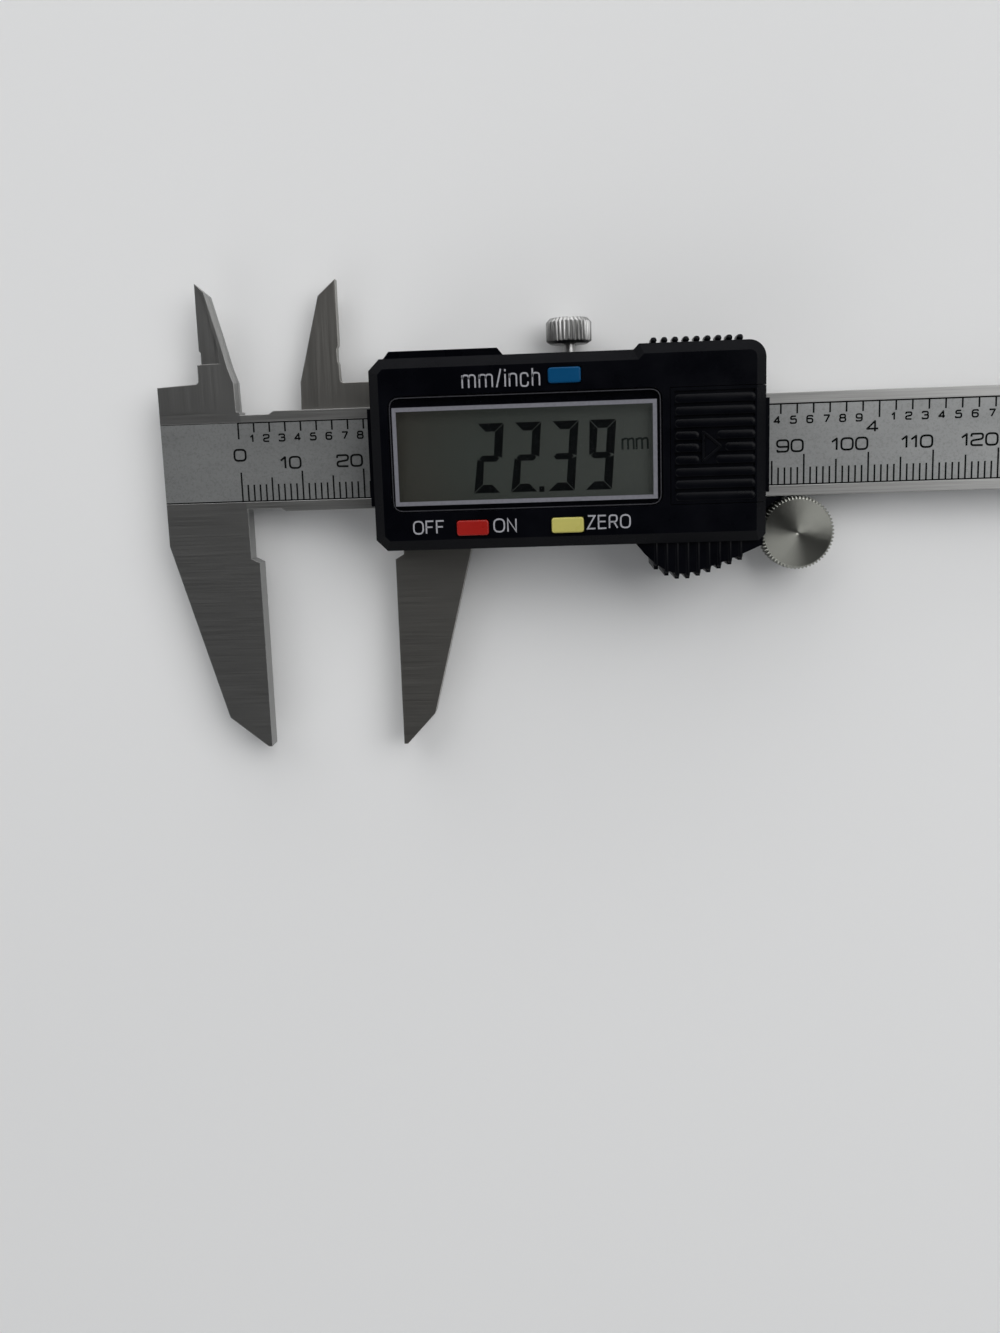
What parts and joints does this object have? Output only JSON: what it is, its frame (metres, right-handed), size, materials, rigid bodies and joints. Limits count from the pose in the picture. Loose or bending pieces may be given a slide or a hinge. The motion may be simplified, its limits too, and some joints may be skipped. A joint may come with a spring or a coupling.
{
  "type": "digital caliper",
  "caption": "Digital caliper with outside and inside jaws, a depth rod, a sliding display head with buttons, a lock screw and a thumb roller.",
  "frame": {"origin": "under the middle of the caliper's box as it stands, on the plane of the slider's rear plate", "axes": "+X along the beam, from the fixed jaws to the depth rod; +Y across the beam, towards the inside jaws; +Z out of the display"},
  "size_m": [0.255, 0.0754, 0.0166],
  "materials": {
    "beam_steel": "satin ground stainless steel",
    "frame_steel": "satin ground stainless steel",
    "plate_steel": "brushed sheet steel",
    "screw_steel": "plated steel",
    "knurled_steel": "turned and knurled",
    "cell_steel": "nickel plated",
    "brass_gib": "rolled brass",
    "contact_metal": "plated spring metal",
    "scale_foil": "matte anodised foil with printed graduations",
    "circuit_laminate": "glass-fibre laminate",
    "chip_resin": "black resin",
    "housing_plastic": "fine textured moulded plastic",
    "window_clear": "clear acrylic with a dark printed border",
    "lcd_panel": "reflective liquid crystal display",
    "connector_rubber": "striped conductive rubber",
    "button_blue": "moulded",
    "button_red": "moulded",
    "button_yellow": "moulded"
  },
  "bodies": {
    "beam": {"main_beam": "beam_steel", "stator_strip": "circuit_laminate", "scale_label": "scale_foil", "end_stop": "beam_steel", "end_stop_screws": "screw_steel"},
    "slider": {"slider_frame": "frame_steel", "gib_strip": "brass_gib", "gib_set_screws": "screw_steel", "rear_plate": "plate_steel", "rear_plate_screws": "screw_steel", "depth_rod": "frame_steel", "rod_rivets": "screw_steel", "front_housing": "housing_plastic", "housing_screws": "screw_steel", "display_window": "window_clear", "lcd_glass": "lcd_panel", "lcd_holder": "housing_plastic", "zebra_strips": "connector_rubber", "circuit_board": "circuit_laminate", "display_chip": "chip_resin", "button_domes": "contact_metal", "battery_cell": "cell_steel", "battery_tray": "housing_plastic", "cell_side_contact": "contact_metal", "cell_base_contact": "contact_metal", "roller_pin": "screw_steel", "roller_bracket": "housing_plastic"},
    "lock_screw": {"lock_screw": "knurled_steel"},
    "thumb_roller": {"thumb_roller": "knurled_steel"},
    "mode_button": {"mode_button": "button_blue"},
    "power_button": {"power_button": "button_red"},
    "zero_button": {"zero_button": "button_yellow"},
    "battery_cover": {"battery_cover": "housing_plastic"},
    "data_port_cover": {"data_port_cover": "housing_plastic"}
  },
  "joints": [
    {"name": "slider_slide", "type": "slide", "parent": "beam", "child": "slider", "axis": [1, 0, 0], "range_m": [-0.02238, 0.12761]},
    {"name": "roller_spin", "type": "hinge", "parent": "slider", "child": "thumb_roller", "pos_m": [-0.02594, -0.00432, 0.00515], "axis": [0, 0, 1], "range_deg": [-240, 1330]},
    {"name": "lock_screw_turn", "type": "hinge", "parent": "slider", "child": "lock_screw", "pos_m": [-0.06139, 0.02803, 0.0042], "axis": [0, 1, 0], "range_deg": [0, 360]},
    {"name": "mode_press", "type": "slide", "parent": "slider", "child": "mode_button", "axis": [0, 0, -1], "range_m": [0, 0.0004], "stiffness_N_per_m": 300, "springref_m": -0.0005},
    {"name": "power_press", "type": "slide", "parent": "slider", "child": "power_button", "axis": [0, 0, -1], "range_m": [0, 0.0004], "stiffness_N_per_m": 300, "springref_m": -0.0005},
    {"name": "zero_press", "type": "slide", "parent": "slider", "child": "zero_button", "axis": [0, 0, -1], "range_m": [0, 0.0004], "stiffness_N_per_m": 300, "springref_m": -0.0005},
    {"name": "battery_cover_slide", "type": "slide", "parent": "slider", "child": "battery_cover", "axis": [1, 0, 0], "range_m": [0, 0.014]},
    {"name": "port_cover_slide", "type": "slide", "parent": "slider", "child": "data_port_cover", "axis": [1, 0, 0], "range_m": [0, 0.008]}
  ],
  "couplings": [
    {"joint": "roller_spin", "follows": "slider_slide", "rad_per_m": 172.41}
  ]
}
